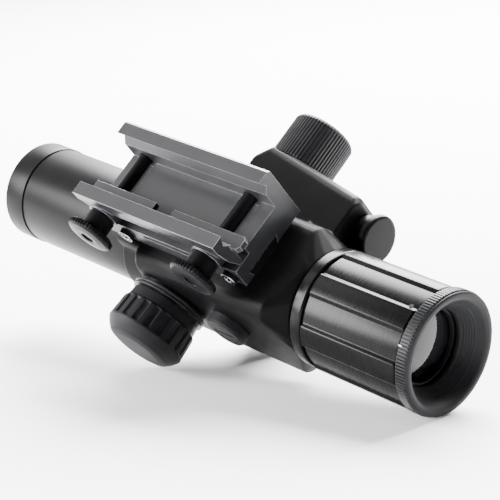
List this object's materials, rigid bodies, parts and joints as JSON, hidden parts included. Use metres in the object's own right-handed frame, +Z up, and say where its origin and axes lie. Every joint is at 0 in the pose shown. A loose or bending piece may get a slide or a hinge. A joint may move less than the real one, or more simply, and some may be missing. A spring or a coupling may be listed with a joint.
{
  "type": "finder scope",
  "caption": "Compact finder scope: ringed objective tube, fluted focusing eyepiece, capped turrets, side battery housing and a thumb-nut clamp for an accessory rail.",
  "frame": {"origin": "middle of the top of the accessory rail under the clamp, which the movable jaw's lip rests on", "axes": "+X towards the objective along the optical axis, +Y to the left, +Z up from the rail"},
  "size_m": [0.205, 0.1023, 0.082],
  "materials": {
    "cast_black": "satin",
    "clamp_black": "satin",
    "anodised_black": "satin",
    "dark_steel": "satin",
    "bright_steel": "brushed",
    "brass": "machined",
    "coated_glass": "coated",
    "black_plastic": "matt"
  },
  "bodies": {
    "scope": {"main_body": "cast_black", "mount_base": "clamp_black", "cross_bolt_front": "dark_steel", "cross_bolt_rear": "dark_steel", "saddle_screw_front": "dark_steel", "saddle_screw_rear": "dark_steel", "objective_tube": "anodised_black", "objective_ring": "anodised_black", "objective_cell": "anodised_black", "objective_lens": "coated_glass", "objective_flint": "coated_glass", "objective_retainer": "anodised_black", "erector_seat": "anodised_black", "knob_seat": "anodised_black", "contact_spring": "bright_steel", "battery_cell_1": "bright_steel", "battery_cell_2": "bright_steel", "battery_cell_3": "bright_steel", "lock_ring": "anodised_black", "eyepiece_barrel": "anodised_black", "inner_sleeve": "anodised_black"},
    "jaw": {"clamp_jaw": "clamp_black"},
    "nut_front": {"thumb_nut_front": "dark_steel"},
    "nut_rear": {"thumb_nut_rear": "dark_steel"},
    "gimbal": {"gimbal_ring": "brass"},
    "erector": {"erector_tube": "anodised_black", "erector_lens_front": "coated_glass", "erector_lens_rear": "coated_glass", "reticle": "coated_glass"},
    "windage_adjuster": {"windage_dial": "dark_steel"},
    "windage_cover": {"windage_cap": "anodised_black"},
    "elevation_adjuster": {"elevation_dial": "dark_steel"},
    "elevation_cover": {"elevation_cap": "anodised_black"},
    "lamp_knob": {"rheostat_knob": "black_plastic", "switch_shaft": "brass"},
    "side_cover": {"side_plug": "black_plastic"},
    "battery_cover": {"tail_cap": "anodised_black"},
    "diopter": {"diopter_ring": "anodised_black", "eye_bell": "black_plastic"},
    "ocular": {"ocular_cell": "anodised_black", "ocular_lens": "coated_glass", "field_lens": "coated_glass"}
  },
  "joints": [
    {"name": "jaw_slide", "type": "slide", "parent": "scope", "child": "jaw", "axis": [0, 1, 0], "range_m": [-0.002, 0.001]},
    {"name": "front_nut_turn", "type": "hinge", "parent": "jaw", "child": "nut_front", "pos_m": [0.0281, 0, 0.0055], "axis": [0, 1, 0], "range_deg": [-900, 450]},
    {"name": "rear_nut_turn", "type": "hinge", "parent": "jaw", "child": "nut_rear", "pos_m": [-0.0246, 0, 0.0055], "axis": [0, 1, 0], "range_deg": [-900, 450]},
    {"name": "windage_cap_turn", "type": "hinge", "parent": "scope", "child": "windage_cover", "pos_m": [-0.0053, 0, 0.0375], "axis": [0, 1, 0], "range_deg": [0, 1080]},
    {"name": "elevation_cap_turn", "type": "hinge", "parent": "scope", "child": "elevation_cover", "pos_m": [-0.0053, -0.005, 0.0375], "axis": [0, 0, 1], "range_deg": [0, 1080]},
    {"name": "windage_dial_turn", "type": "hinge", "parent": "scope", "child": "windage_adjuster", "pos_m": [-0.0053, 0, 0.0375], "axis": [0, 1, 0], "range_deg": [-360, 360]},
    {"name": "elevation_dial_turn", "type": "hinge", "parent": "scope", "child": "elevation_adjuster", "pos_m": [-0.0053, -0.005, 0.0375], "axis": [0, 0, 1], "range_deg": [-360, 360]},
    {"name": "erector_yaw", "type": "hinge", "parent": "scope", "child": "gimbal", "pos_m": [-0.048, -0.005, 0.0375], "axis": [0, 0, 1], "range_deg": [-0.7, 0.7]},
    {"name": "erector_pitch", "type": "hinge", "parent": "gimbal", "child": "erector", "pos_m": [-0.048, -0.005, 0.0375], "axis": [0, 1, 0], "range_deg": [-0.7, 0.7]},
    {"name": "lamp_knob_turn", "type": "hinge", "parent": "scope", "child": "lamp_knob", "pos_m": [0.0086, -0.005, 0.0375], "axis": [0, 1, 0], "range_deg": [0, 300]},
    {"name": "side_plug_turn", "type": "hinge", "parent": "scope", "child": "side_cover", "pos_m": [-0.021, -0.005, 0.0375], "axis": [0, 1, 0], "range_deg": [0, 1080]},
    {"name": "tail_cap_turn", "type": "hinge", "parent": "scope", "child": "battery_cover", "pos_m": [-0.048, 0.0233, 0.0375], "axis": [1, 0, 0], "range_deg": [0, 1440]},
    {"name": "diopter_turn", "type": "hinge", "parent": "scope", "child": "diopter", "pos_m": [-0.1, -0.005, 0.0375], "axis": [1, 0, 0], "range_deg": [-180, 180]},
    {"name": "ocular_slide", "type": "slide", "parent": "scope", "child": "ocular", "axis": [1, 0, 0], "range_m": [-0.0008, 0.0008]}
  ],
  "couplings": [
    {"joint": "jaw_slide", "follows": "front_nut_turn", "m_per_rad": 0.00012732},
    {"joint": "rear_nut_turn", "follows": "front_nut_turn", "ratio": 1},
    {"joint": "erector_yaw", "follows": "windage_dial_turn", "ratio": 0.0018636},
    {"joint": "erector_pitch", "follows": "elevation_dial_turn", "ratio": -0.0018636},
    {"joint": "ocular_slide", "follows": "diopter_turn", "m_per_rad": 0.00025465}
  ]
}
